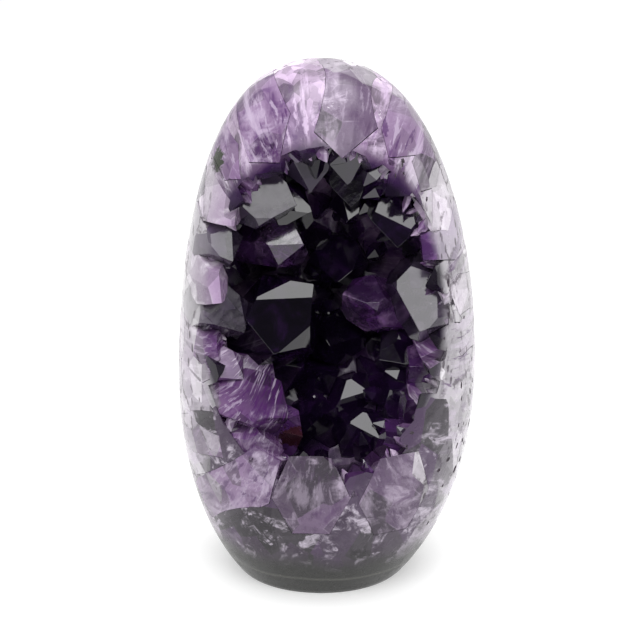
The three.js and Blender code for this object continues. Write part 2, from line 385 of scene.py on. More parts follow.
class QuartzRecipe(Recipe):
    """A recipe with the patterns that all the quartz shares, laid out from the hollow."""

    def from_hollow(self) -> Socket:
        """The way from the hollow's centre to a place."""
        return self.vector("SUBTRACT", self.place, HOLLOW_CENTRE)

    def outwards(self) -> Socket:
        """How far out from the hollow's centre a place is, where 1 is the hollow's wall."""
        return self.length(self.vector("DIVIDE", self.from_hollow(), HOLLOW_RADII))

    def columns(self, sway: Sway) -> Socket:
        """A direction out of the hollow, the same all along each column of quartz."""
        return self.drifted(sway, self.vector("NORMALIZE", self.from_hollow()))

    def frosting(self, scale: float, step: Step) -> Socket:
        """Ragged patches where the quartz is full of tiny cracks, from 0 to 1."""
        broad = self.between(self.noise(scale, detail=4.0, rough=0.6, warp=1.0), step)
        slanted = self.stretched(scale=(1.0, 0.35, 1.6), turn=(0.5, 0.3, 0.5))
        streaks = self.noise(2.2 * scale, detail=6.0, rough=0.68, vector=slanted, warp=0.8)
        return self.product(broad, self.between(streaks, (0.42, 0.66)))

    def blocks(self) -> Socket:
        """Coordinates for grains that are taller than wide."""
        return self.vector("MULTIPLY", self.place, (1.0, 1.0, BLOCK_SQUASH))

    def block_middles(self, scale: float) -> list[Socket]:
        """The X, Y and squashed Z of the middle of each blocky grain."""
        return self.axes(self.cells(scale, self.blocks(), "Position"))

    def block_numbers(self, scale: float) -> list[Socket]:
        """Three numbers from 0 to 1 that each blocky grain has of its own."""
        return self.parts(self.cells(scale, self.blocks(), "Color"))

    def streaks(self, around: float, outward: float) -> Socket:
        """Feathery noise that runs outwards from the hollow's middle, as seen from the front.

        Args:
            around: Cycles for each radian about the middle.
            outward: Cycles per metre along a streak.

        Returns:
            The noise, from 0 to 1.
        """
        flat = self.vector("MULTIPLY", self.from_hollow(), (1.0, 0.0, 1.0))
        ring = self.scaled(self.vector("NORMALIZE", flat), around)
        along = self.add("CombineXYZ", {"Y": self.product(self.length(flat), outward)}).outputs[0]
        return self.noise(1.0, detail=5.0, rough=0.62, vector=self.vector("ADD", ring, along), warp=0.3)

    def spot(self, spot: Spot) -> Socket:
        """A ragged round spot, from 0 outside it to 1 inside."""
        away = self.length(self.vector("SUBTRACT", self.place, spot.middle))
        ragged = self.centred(self.noise(450.0, detail=5.0, rough=0.7), 2.4 * spot.radius)
        return self.between(self.maths("ADD", away, ragged), (spot.radius, 0.75 * spot.radius))

    def painted_glints(self, scale: float, patches: Socket) -> Socket:
        """Painted glints: small bright flecks inside patches."""
        dots = self.cells(scale, self.drifted(Sway(2.0 * MM, 700.0)))
        return self.product(self.between(dots, (0.2, 0.08)), patches)


# ---------------------------------------------------------------- finishes


@dataclass(frozen=True)
class Skin:
    """The pale pitted quartz of both sides and the back, grain by grain."""

    colour: Colour = (0.66, 0.635, 0.665)
    dark: Colour = (0.045, 0.03, 0.045)
    grain_scale: float = 190.0
    right: Step = (18.5 * MM, 21.5 * MM)
    left: Step = (-23.5 * MM, -26.5 * MM)
    behind: Step = (-6.0 * MM, 2.0 * MM)
    shades: Step = (0.62, 1.25)
    fine_shades: Step = (0.8, 1.14)
    thinnest: float = 0.7

    def reach(self, recipe: QuartzRecipe) -> Socket:
        """Where the skin is, from 0 to 1."""
        x, y, _ = recipe.block_middles(self.grain_scale)
        sides = recipe.maths("MAXIMUM", recipe.between(x, self.right), recipe.between(x, self.left))
        outwards = recipe.outwards()
        back = recipe.product(recipe.between(y, self.behind), recipe.between(outwards, (1.2, 1.4)))
        whole = recipe.maths("MAXIMUM", sides, back)
        return recipe.product(whole, recipe.between(outwards, (0.92, 1.0)))

    def cover(self, recipe: QuartzRecipe, share: float) -> None:
        """Lays the skin over a recipe's colour by a share, with its seams and specks, and the moss."""
        reach = self.reach(recipe)
        coarse, opacity, _ = recipe.block_numbers(self.grain_scale)
        fine = recipe.cells(430.0, recipe.blocks(), "Color")
        shade = recipe.product(recipe.between(coarse, ALL, self.shades),
                               recipe.between(fine, ALL, self.fine_shades))
        full = recipe.between(opacity, (0.0, 0.5), (self.thinnest * share, share))
        recipe.lay(recipe.scaled(self.colour, shade), reach, full)
        edges = recipe.cell_edges(self.grain_scale, recipe.drifted(Sway(1.6 * MM, 700.0), recipe.blocks()))
        worn = recipe.between(recipe.noise(170.0, detail=4.0, rough=0.6), (0.45, 0.56))
        recipe.lay(self.dark, recipe.between(edges, (0.08, 0.015)), worn, reach, 0.8)
        dots = recipe.cells(400.0, recipe.stretched(scale=(1.5, 1.5, 0.6), turn=(0.15, 0.0, 0.0)))
        patches = recipe.between(recipe.noise(90.0, detail=2.0), (0.42, 0.5))
        recipe.lay(self.dark, recipe.between(dots, (0.27, 0.2)), patches, reach, 0.92)
        recipe.lay(MOSS.colour, recipe.spot(MOSS))


@dataclass(frozen=True)
class Feathers:
    """Feathers that run outwards from the hollow, cut from the high and low values of one noise."""

    around: float
    outward: float
    high: Step
    low: Step

    def cover(self, recipe: QuartzRecipe, high: tuple, low: tuple) -> None:
        """Lays the feathers over a recipe's colour, each kind given as a colour and its shares."""
        streaks = recipe.streaks(self.around, self.outward)
        for step, (colour, *shares) in ((self.high, high), (self.low, low)):
            recipe.lay(colour, recipe.between(streaks, step), *shares)


POINT_FEATHERS = Feathers(9.0, 70.0, high=(0.54, 0.66), low=(0.46, 0.36))
STONE_FEATHERS = Feathers(9.0, 70.0, high=(0.52, 0.64), low=(0.46, 0.36))
BARBS = Feathers(26.0, 210.0, high=(0.56, 0.64), low=(0.43, 0.36))


@dataclass(frozen=True)
class AmethystFinish:
    """Glassy amethyst, whose colour deepens from the root of a point to its tip."""

    name: str
    tip: Colour
    body: Colour
    root: Colour
    # The glow is painted light, a violet laid into the colour where light would shine through; the low
    # feathers share its colour.
    glow: Colour
    glow_share: float = 0.4
    facets: float = 0.35
    frost: Colour = (0.5, 0.42, 0.56)
    frost_share: float = 0.0
    feathers: float = 0.0
    roughness: float = 0.05
    grain: float = 0.25
    specular: float = 0.5
    coat: float = 0.25
    # The colour of the painted glints.
    glint_colour: Colour = (0.9, 0.87, 0.92)
    skin_share: float = 0.6
    crack_scale: float = 150.0
    crack_sway: Sway = Sway(1.0 * MM, 160.0)

    def colour_by_depth(self, recipe: QuartzRecipe) -> None:
        """Starts from the colour by depth, split into angular patches by flat healed cracks."""
        cloud = recipe.centred(recipe.noise(120.0, detail=4.0, rough=0.55), 0.36)
        share = recipe.maths("SUBTRACT", recipe.maths("ADD", recipe.outwards(), cloud), 0.4)
        recipe.colour = recipe.ramp(share, (0.2, 0.46, 0.75), (self.tip, self.body, self.root))
        # Painted light: violet is laid into the colour in places, where light would come through.
        light = recipe.between(recipe.noise(130.0, rough=0.6, warp=1.2), (0.5, 0.7), (0.0, self.glow_share))
        recipe.lay(self.glow, light)
        tint = recipe.parts(recipe.cells(self.crack_scale, recipe.drifted(self.crack_sway), "Color"))[0]
        shade = recipe.between(tint, ALL, (1.0 - self.facets, 1.0 + self.facets))
        recipe.colour = recipe.scaled(recipe.colour, shade)

    def cover_with_frost(self, recipe: QuartzRecipe) -> None:
        """Lays frosty patches, white cracks and painted glints."""
        recipe.lay(self.frost, recipe.frosting(95.0, (0.44, 0.64)), self.frost_share)
        edges = recipe.cell_edges(self.crack_scale, recipe.drifted(self.crack_sway))
        patches = recipe.between(recipe.noise(140.0), (0.52, 0.68))
        recipe.lay(self.frost, recipe.between(edges, (0.03, 0.0)), patches, 0.5 * self.frost_share)
        # Painted glints: near-white flecks laid into the colour, where light would flash.
        painted_glints = recipe.painted_glints(1500.0, recipe.between(recipe.noise(120.0), (0.6, 0.74)))
        recipe.lay(self.glint_colour, painted_glints, self.frost_share)

    def cover_with_feathers(self, recipe: QuartzRecipe) -> None:
        """Lays feathers and barbs."""
        low = (self.glow, self.feathers)
        POINT_FEATHERS.cover(recipe, (self.frost, self.feathers), low)
        BARBS.cover(recipe, (self.frost, 0.8 * self.feathers), low)

    def relief(self, recipe: QuartzRecipe) -> Socket:
        """Growth steps on the faces, and a fine grain."""
        steps = recipe.cells(260.0, recipe.stretched(scale=(1.0, 1.0, 2.6), turn=(0.4, 0.7, 0.1)))
        relief = recipe.bump(steps, 0.2 * MM, 0.3 * self.grain)
        return recipe.bump(recipe.noise(1100.0, detail=4.0), 0.04 * MM, self.grain, relief)

    def build(self) -> Material:
        """Makes the material."""
        recipe = QuartzRecipe(self.name)
        self.colour_by_depth(recipe)
        if self.frost_share:
            self.cover_with_frost(recipe)
        if self.feathers:
            self.cover_with_feathers(recipe)
        Skin().cover(recipe, self.skin_share)
        recipe.lay(STAIN.colour, recipe.spot(STAIN))
        haze = recipe.noise(420.0, detail=4.0, rough=0.6)
        return recipe.finish({
            "Roughness": recipe.between(haze, (0.4, 0.8), (self.roughness, self.roughness + 0.12)),
            "Normal": self.relief(recipe),
            "IOR": QUARTZ_IOR,
            "Specular IOR Level": self.specular,
            "Coat Weight": self.coat,
            "Coat Roughness": 0.03,
        })


class Tone(Enum):
    """The kinds of amethyst that the points are made of."""

    NIGHT = AmethystFinish(
        "amethyst_night", (0.002, 0.001, 0.004), (0.005, 0.002, 0.010), (0.020, 0.006, 0.036),
        glow=(0.022, 0.006, 0.042), glow_share=0.4,
    )
    PLUM = AmethystFinish(
        "amethyst_plum", (0.006, 0.002, 0.012), (0.022, 0.007, 0.036), (0.075, 0.028, 0.11),
        glow=(0.06, 0.015, 0.10), glow_share=0.55, frost=(0.28, 0.16, 0.34), frost_share=0.3,
        roughness=0.1, grain=0.4,
    )
    VIOLET = AmethystFinish(
        "amethyst_violet", (0.02, 0.005, 0.034), (0.045, 0.013, 0.074), (0.10, 0.035, 0.145),
        glow=(0.085, 0.022, 0.135), glow_share=0.7, frost=(0.32, 0.18, 0.38), frost_share=0.5,
        roughness=0.22, grain=0.9,
    )
    SLATE = AmethystFinish(
        "amethyst_slate", (0.012, 0.008, 0.018), (0.026, 0.018, 0.036), (0.06, 0.04, 0.075),
        glow=(0.04, 0.018, 0.06), glow_share=0.35, frost=(0.2, 0.16, 0.22), frost_share=0.2,
        roughness=0.12, grain=0.15,
    )
    LILAC = AmethystFinish(
        "amethyst_lilac", (0.02, 0.006, 0.032), (0.095, 0.045, 0.12), (0.18, 0.115, 0.205),
        glow=(0.055, 0.013, 0.085), glow_share=0.7, frost=(0.42, 0.34, 0.46), frost_share=0.7,
        feathers=0.75, roughness=0.16, grain=0.5, specular=0.4, coat=0.0,
    )
    CLOUDED = AmethystFinish(
        "amethyst_clouded", (0.024, 0.011, 0.031), (0.042, 0.024, 0.052), (0.085, 0.055, 0.098),
        glow=(0.04, 0.013, 0.055), glow_share=0.7, facets=0.6, frost=(0.4, 0.33, 0.43), frost_share=0.85,
        feathers=0.4, roughness=0.24, grain=0.2, specular=0.35, coat=0.0,
    )
    FROSTED = AmethystFinish(
        "amethyst_frosted", (0.12, 0.06, 0.15), (0.27, 0.19, 0.30), (0.44, 0.38, 0.46),
        glow=(0.10, 0.035, 0.14), glow_share=0.7, frost=(0.7, 0.65, 0.72), frost_share=0.9,
        roughness=0.25, grain=0.8, specular=0.4, coat=0.0,
    )


TONES_OF: dict[Tone, str] = {
    Tone.SLATE: "left_dark left_lower_grey upper_left_pale upper_centre_grey right_large",
    Tone.PLUM: "mid_left_lower upper_rim_small right_rim_lower right_rim_foot",
    Tone.VIOLET: "centre_right_purple lower_left_purple right_rim_corner right_rim_dark",
    Tone.LILAC: "lower_left_lilac lower_left_grey lower_left_foot left_flat_outer left_flat_inner "
                "crown_left crown_right upper_left_fan left_rim_violet right_rim_pink",
    Tone.CLOUDED: "front_lower_large front_lower_right crown_large right_rim_top",
    Tone.FROSTED: "left_rim_pale left_rim_white right_rim_upper right_rim_frosted",
}
# The tone of each point that is not as dark as night.
TONES: dict[str, Tone] = {short: tone for tone, names in TONES_OF.items() for short in names.split()}


@dataclass(frozen=True)
class Truncation:
    """A flat end face that takes the outermost corner off a point.

    Attributes:
        normal: The way the face looks, of any length.
        depth: How far below the outermost place it lies.
    """

    normal: Triple
    depth: float


# Faces that catch the front light.
TRUNCATIONS: dict[str, tuple[Truncation, ...]] = {
    "centre_left_large": (
        Truncation((-0.10, -0.80, 0.59), 0.9 * MM),
        Truncation((0.158, -0.987, 0.043), 0.6 * MM),
    ),
    "upper_right_dark": (Truncation((-0.03, -0.86, 0.51), 1.2 * MM),),
    "right_large": (Truncation((0.5, -0.69, 0.52), 1.6 * MM),),
    "floor_centre": (Truncation((0.02, -0.81, 0.58), 2.0 * MM),),
    "floor_front": (Truncation((0.0, -0.81, 0.585), 1.8 * MM),),
}


@dataclass(frozen=True)
class StoneFinish:
    """Polished quartz: violet druse inside, lilac columns at the rim, a pale shell and a grey rind."""

    name: str = "polished_quartz"
    depths: tuple[float, ...] = (0.26, 0.35, 0.42, 0.7)
    inside: Colour = (0.005, 0.002, 0.009)
    wall: Colour = (0.022, 0.007, 0.038)
    rim: Colour = (0.085, 0.05, 0.10)
    shell: Colour = (0.27, 0.235, 0.28)
    crown_tint: Colour = (0.95, 0.82, 0.97)
    crown: Step = (88.0 * MM, 104.0 * MM)
    smoke: Colour = (0.012, 0.006, 0.015)
    smoke_scale: float = 150.0
    smoke_height: Step = (52.0 * MM, 40.0 * MM)
    smoke_front: Step = (-10.0 * MM, -16.0 * MM)
    violet: Colour = (0.07, 0.025, 0.10)
    line: Colour = (0.03, 0.013, 0.045)
    frost: Colour = (0.52, 0.46, 0.55)
    # The colour of the painted glints.
    glint_colour: Colour = (0.85, 0.82, 0.87)
    skin_share: float = 0.85
    column_scale: float = 8.0
    rind: Colour = (0.010, 0.010, 0.009)
    rind_light: Colour = (0.034, 0.034, 0.032)
    rind_top: float = 11.0 * MM
    rind_blend: float = 4.0 * MM
    rind_wave: float = 8.0 * MM
    agate: Colour = (0.10, 0.10, 0.088)
    agate_drop: float = 6.2 * MM
    agate_width: float = 0.6 * MM

    def colour_by_depth(self, recipe: QuartzRecipe) -> None:
        """Starts from the colour by depth, from the druse to the shell."""
        cloud = recipe.centred(recipe.noise(100.0, detail=4.0, rough=0.55), 0.3)
        wavy = recipe.maths("ADD", recipe.outwards(), cloud)
        share = recipe.product(recipe.maths("SUBTRACT", wavy, 0.7), 1.25)
        recipe.colour = recipe.ramp(share, self.depths, (self.inside, self.wall, self.rim, self.shell))

    def cover_with_columns(self, recipe: QuartzRecipe, outside: Socket, near_rim: Socket) -> None:
        """Lays the columns that the polish cuts across: a polygon each, with its own shade."""
        rays = recipe.columns(Sway(0.02, 90.0))
        tint, hue, _ = recipe.parts(recipe.cells(self.column_scale, rays, "Color"))
        small = recipe.parts(recipe.cells(19.0, rays, "Color"))[0]
        shade = recipe.product(recipe.between(tint, ALL, (0.4, 1.5)), recipe.between(small, ALL, (0.5, 1.5)))
        recipe.lay(recipe.scaled(recipe.colour, shade), outside)
        recipe.lay(self.violet, recipe.between(hue, (0.5, 0.9), (0.0, 0.7)), near_rim, outside)
        # Dark seams come and go between the columns.
        fade = recipe.between(recipe.noise(120.0), (0.42, 0.62))
        edges = recipe.cell_edges(self.column_scale, recipe.columns(Sway(0.05, 90.0)))
        recipe.lay(self.line, recipe.between(edges, (0.05, 0.0), (0.0, 0.8)), outside, near_rim, fade)

    def cover_with_frost(self, recipe: QuartzRecipe, outside: Socket, near_rim: Socket) -> None:
        """Lays feathers and barbs, ragged white patches of tiny cracks, the crown's tint and painted glints.
        """
        STONE_FEATHERS.cover(recipe, (self.frost, 0.75, outside), (self.violet, 0.75, outside, near_rim))
        BARBS.cover(recipe, (self.frost, 0.7, outside), (self.violet, outside, near_rim))
        recipe.lay(self.frost, recipe.frosting(80.0, (0.42, 0.62)), outside, 0.8)
        tinted = recipe.mix(1.0, recipe.colour, self.crown_tint, "MULTIPLY")
        recipe.lay(tinted, recipe.between(recipe.axes(recipe.place)[2], self.crown))
        # Painted glints: near-white flecks laid into the colour, where light would flash.
        painted_glints = recipe.painted_glints(1400.0, recipe.between(recipe.noise(110.0), (0.58, 0.72)))
        recipe.lay(self.glint_colour, painted_glints, outside)

    def cover_with_smoke(self, recipe: QuartzRecipe, outside: Socket) -> None:
        """Lays smoky quartz low on the front, grain by grain, and white cracks in it that are also painted
        as glints.
        """
        _, y, z = recipe.block_middles(self.smoke_scale)
        own = recipe.block_numbers(self.smoke_scale)
        low = recipe.between(z, tuple(BLOCK_SQUASH * height for height in self.smoke_height))
        smoky = recipe.scaled(self.smoke, recipe.between(own[0], (0.2, 1.0), (0.5, 2.6)))
        veil = recipe.mix(recipe.between(own[2], (0.55, 0.8), (0.0, 0.5)), smoky, self.violet)
        recipe.lay(veil, low, recipe.between(y, self.smoke_front), 0.92)
        # White cracks, partly painted glints: light patches low on the front.
        recipe.lay(self.frost, recipe.frosting(150.0, (0.49, 0.57)), outside, low, 0.9)

    def cover_with_rind(self, recipe: QuartzRecipe) -> None:
        """Lays the rind at the foot, and a thin light line of agate in it."""
        wave = recipe.centred(recipe.noise(60.0), self.rind_wave)
        height = recipe.maths("ADD", recipe.axes(recipe.place)[2], wave)
        rind = recipe.mix(recipe.noise(420.0, detail=5.0, rough=0.65), self.rind, self.rind_light)
        top = (self.rind_top + self.rind_blend, self.rind_top - self.rind_blend)
        recipe.lay(rind, recipe.between(height, top))
        # The line waves a quarter as much as the rind.
        level = recipe.maths("ADD", height, recipe.product(wave, -0.75))
        away = recipe.maths("ABSOLUTE", recipe.maths("SUBTRACT", level, self.rind_top - self.agate_drop))
        recipe.lay(self.agate, recipe.between(away, (self.agate_width, 0.0), (0.0, 0.55)))

    def build(self) -> Material:
        """Makes the material."""
        recipe = QuartzRecipe(self.name)
        outwards = recipe.outwards()
        outside = recipe.between(outwards, (0.98, 1.08))
        near_rim = recipe.between(outwards, (1.5, 1.1))
        self.colour_by_depth(recipe)
        self.cover_with_columns(recipe, outside, near_rim)
        Skin().cover(recipe, self.skin_share)
        self.cover_with_frost(recipe, outside, near_rim)
        self.cover_with_smoke(recipe, outside)
        self.cover_with_rind(recipe)
        return recipe.finish({
            "Roughness": recipe.between(recipe.noise(380.0, detail=4.0), (0.35, 0.75), (0.2, 0.36)),
            "Normal": recipe.bump(recipe.noise(500.0, detail=5.0, rough=0.6), 0.1 * MM, 0.15),
            "IOR": QUARTZ_IOR,
            "Specular IOR Level": 0.32,
            "Coat Weight": 0.05,
            "Coat Roughness": 0.15,
        })


@dataclass(frozen=True)
class PitFinish:
    """The dull dark inside of a pit in the polish."""

    name: str = "pit_inside"
    colour: Colour = (0.03, 0.022, 0.03)
    lighter: Colour = (0.09, 0.066, 0.09)

    def build(self) -> Material:
        """Makes the material."""
        recipe = Recipe(self.name)
        grain = recipe.noise(900.0)
        recipe.colour = recipe.mix(grain, self.colour, self.lighter)
        return recipe.finish({
            "Roughness": recipe.between(grain, (0.2, 0.8), (0.45, 0.75)),
        })


@dataclass(frozen=True)
class FloorFinish:
    """The pale studio floor, lit a little from within so that it stays white to the horizon."""

    name: str = "studio_floor"
    colour: Colour = (0.58, 0.58, 0.58)
    darker: Colour = (0.5713, 0.5713, 0.5713)
    lit: float = 0.45

    def build(self) -> Material:
        """Makes the material."""
        recipe = Recipe(self.name)
        recipe.colour = recipe.mix(recipe.noise(40.0, detail=2.0), self.colour, self.darker)
        return recipe.finish({
            "Roughness": 0.6,
            "Specular IOR Level": 0.15,
            "Emission Color": (1.0, 1.0, 1.0, 1.0),
            "Emission Strength": self.lit,
        })


# ---------------------------------------------------------------- the polish


@dataclass
class PolishedEgg:
    """The polished outline, as a fine closed solid that trims every piece to one smooth surface."""

    height: float = 112.0 * MM
    width: float = 63.0 * MM
    depth: float = 54.0 * MM
    waist: float = 44.0 * MM
    lower_reach: float = 53.6 * MM
    dome_bluntness: float = 0.4
    side_bulge: float = 1.2 * MM
    bulge_taken_off: float = 0.95
    inset: float = 0.35 * MM
    base_bevel: float = 0.8 * MM
    least_radius: float = 0.05 * MM
    segments: int = 144
    rings_above: int = 60
    rings_below: int = 26

    def half_width(self, z: float) -> float:
        """Half the egg's width at a height above the base."""
        if z >= self.waist:
            t = min(1.0, (z - self.waist) / (self.height - self.waist))
            return self.width / 2 * (1 - t * t) ** self.dome_bluntness
        t = (self.waist - z) / self.lower_reach
        return self.width / 2 * math.sqrt(1 - t * t)

    def holds(self, place: Vector, margin: float) -> bool:
        """Whether a place is inside the egg by at least a margin."""
        if not margin < place.z < self.height - margin:
            return False
        half = self.half_width(place.z) - margin
        if half <= 0:
            return False
        return (place.x / half) ** 2 + (place.y / (half * self.depth / self.width)) ** 2 < 1

    def surface(self, z: float, angle: float) -> Vector:
        """The place on the polish at a height and at an angle about the upright axis, from +X."""
        half = self.half_width(z) - self.inset
        bulge = self.side_bulge * (math.sin(math.pi * z / self.height) - self.bulge_taken_off)
        return Vector((half * math.cos(angle) + bulge, half * math.sin(angle) * self.depth / self.width, z))

    def heights(self) -> list[float]:
        """The heights of the rings, from the base to just under the crown."""
        rise = self.waist - self.base_bevel
        below = [self.base_bevel + rise * i / self.rings_below for i in range(self.rings_below + 1)]
        above = [self.waist + (self.height - self.waist) * math.sin(math.pi / 2 * i / self.rings_above)
                 for i in range(1, self.rings_above)]
        return below + above

    def stack(self) -> Piece:
        """A ring at the base, extruded up and resized ring by ring, then closed."""
        deselect_everything()
        z, radius = 0.0, self.half_width(self.base_bevel) - self.base_bevel - self.inset
        bpy.ops.mesh.primitive_circle_add(vertices=self.segments, radius=radius, fill_type="NGON",
                                          location=(0, 0, 0))
        egg = bpy.context.object
        egg.name = "polish_cutter"
        edit(egg)
        for level in self.heights():
            wanted = max(self.half_width(level) - self.inset, self.least_radius)
            factor = wanted / radius
            bpy.ops.mesh.extrude_region_move(TRANSFORM_OT_translate={"value": (0, 0, level - z)})
            bpy.ops.transform.resize(value=(factor, factor, 1), center_override=(0, 0, level))
            z, radius = level, wanted
        bpy.ops.mesh.merge(type="CENTER")
        bpy.ops.mesh.select_all(action="SELECT")
        bpy.ops.transform.resize(value=(1, self.depth / self.width, 1), center_override=(0, 0, 0))
        bpy.ops.mesh.normals_make_consistent(inside=False)
        bpy.ops.object.mode_set(mode="OBJECT")
        return egg

    def build(self) -> Piece:
        """Makes the solid.

        Returns:
            The egg, at the place of the stone and centred on its width.
        """
        egg = self.stack()
        vertices = egg.data.vertices
        highest = max(vertex.co.z for vertex in vertices)
        for vertex in vertices:
            vertex.co.x += self.side_bulge * math.sin(math.pi * vertex.co.z / self.height)
            if vertex.co.z == highest:
                vertex.co.z = self.height - self.inset
        middle = (min(vertex.co.x for vertex in vertices) + max(vertex.co.x for vertex in vertices)) / 2
        for vertex in vertices:
            vertex.co.x -= middle
        egg.hide_render = True
        return egg


# ---------------------------------------------------------------- pieces


@dataclass
class LargePoints:
    """The large amethyst points, one piece for each CAD node."""

    egg: Piece
    flatness: float = 1.0
    grow: float = 0.145 * MM
    edge: float = 0.06 * MM
    edge_angle: float = 14
    finishes: dict[Tone, Material] = field(default_factory=dict)

    def finish(self, tone: Tone) -> Material:
        """The material of a tone, made once."""
        if tone not in self.finishes:
            self.finishes[tone] = tone.value.build()
        return self.finishes[tone]

    def truncate(self, piece: Piece, cut: Truncation) -> None:
        """Cuts a flat face on a piece that is in edit mode."""
        normal = Vector(cut.normal).normalized()
        shape = bmesh.from_edit_mesh(piece.data)
        outermost = max(normal.dot(vertex.co) for vertex in shape.verts)
        bpy.ops.mesh.select_all(action="SELECT")
        bpy.ops.mesh.bisect(plane_co=normal * (outermost - cut.depth), plane_no=normal, use_fill=True,
                            clear_outer=True)

    def ease_edges(self, piece: Piece) -> None:
        """Bevels the edges of a piece a little."""
        bevel = piece.modifiers.new("edge", "BEVEL")
        bevel.width = self.edge
        bevel.segments = 2
        bevel.limit_method = "ANGLE"
        bevel.angle_limit = math.radians(self.edge_angle)
        bevel.use_clamp_overlap = True
        apply_modifiers(piece)

    def build_one(self, node: Piece) -> Piece:
        """Makes the piece that stands for one node.

        Args:
            node: The CAD node of a point.

        Returns:
            The point, with its edges eased and its outer side polished.
        """
        short = node.name.removeprefix(POINT_PREFIX)
        piece = copy_of_node(node, f"point_{short}", self.flatness)
        edit(piece)
        bpy.ops.transform.shrink_fatten(value=self.grow, use_even_offset=True)
        for cut in TRUNCATIONS.get(short, ()):
            self.truncate(piece, cut)
        bpy.ops.object.mode_set(mode="OBJECT")
        self.ease_edges(piece)
        boolean(piece, self.egg, "INTERSECT")
        dress(piece, self.finish(TONES.get(short, Tone.NIGHT)))
        smooth(piece)
        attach(piece, BODY)
        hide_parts(node.name)
        return piece


@dataclass
class PointField:
    """Many small points on the hollow's wall, joined into one piece.

    Lengths and thicknesses are in widths. The margin is how far inside the polish the wall has to be for
    a point, and a band above 0 is how much further inside it may be.
    """

    egg: Piece
    name: str
    tones: tuple[Tone, ...]
    count: int
    seed: int
    widths: Step
    stoutest: float
    lean: float
    flatness: float
    depth: float
    margin: float
    band: float
    root_depth: float
    shortest: float = 0.9
    jitter: float = 0.2
    prism: float = 1.2 * MM
    taper: float = 0.52 * MM
    end_share: float = 0.12

    def model(self) -> Piece:
        """One point, a millimetre across and under two long, with a six-sided prism and end."""
        deselect_everything()
        bpy.ops.mesh.primitive_cylinder_add(vertices=6, radius=0.5 * MM, depth=self.prism,
                                            location=(0, 0, self.prism / 2))
        point = bpy.context.object
        bpy.ops.object.mode_set(mode="EDIT")
        bpy.ops.mesh.select_mode(type="FACE")
        bpy.ops.mesh.select_all(action="DESELECT")
        shape = bmesh.from_edit_mesh(point.data)
        for face in shape.faces:
            face.select = face.normal.z > 0.9
        bmesh.update_edit_mesh(point.data)
        bpy.ops.mesh.extrude_region_move(TRANSFORM_OT_translate={"value": (0, 0, self.taper)})
        bpy.ops.transform.resize(value=(self.end_share, self.end_share, 1),
                                 center_override=(0, 0, self.prism + self.taper))
        bpy.ops.object.mode_set(mode="OBJECT")
        return point

    def draw(self, number: int, chance: random.Random) -> tuple[Vector, Matrix]:
        """Draws one point.

        Args:
            number: Which of the places on the wall it has.
            chance: Where the random draws come from.

        Returns:
            Its place on the wall, and the matrix that puts the model there.
        """
        up = 1 - 2 * (number + 0.5) / self.count
        level = math.sqrt(1 - up * up)
        golden = math.pi * (3 - math.sqrt(5))
        turn = number * golden + chance.uniform(-self.jitter, self.jitter)
        outward = Vector((level * math.cos(turn), level * math.sin(turn), up))
        wall = Vector(a * b for a, b in zip(outward, HOLLOW_RADII)) + HOLLOW_CENTRE
        normal = Vector(a / b for a, b in zip(outward, HOLLOW_RADII)).normalized()
        lean = Vector(chance.uniform(-self.lean, self.lean) for _ in range(3))
        inward = (lean - normal).normalized()
        width = chance.uniform(*self.widths) / MM
        length = width * chance.uniform(self.shortest, self.stoutest)
        thickness = width * chance.uniform(self.flatness, 1.0)
        depth = chance.uniform(0.0, self.depth)
        spin = chance.uniform(0, math.pi)
        turned = inward.to_track_quat("Z", "Y") @ Euler((0, 0, spin)).to_quaternion()
        root = wall + inward * (depth - self.root_depth)
        return wall, Matrix.LocRotScale(root, turned, Vector((width, thickness, length)))

    def build(self, finishes: Sequence[Material]) -> Piece:
        """Copies the model over the wall, where the wall is far enough inside the polish.

        Args:
            finishes: The materials that the points take at random.

        Returns:
            All the points as one piece.
        """
        chance = random.Random(self.seed)
        outline = PolishedEgg()
        model = self.model()
        points = []
        for number in range(self.count):
            wall, matrix = self.draw(number, chance)
            too_deep = self.band and outline.holds(wall, self.margin + self.band)
            if too_deep or not outline.holds(wall, self.margin):
                continue
            point = spawn(model)
            point.matrix_world = matrix
            point.data.materials.append(finishes[chance.randrange(len(finishes))])
            points.append(point)
        bpy.data.objects.remove(model)
        whole = join(points, self.name)
        boolean(whole, self.egg, "INTERSECT", "EXACT")
        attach(whole, BODY)
        return whole


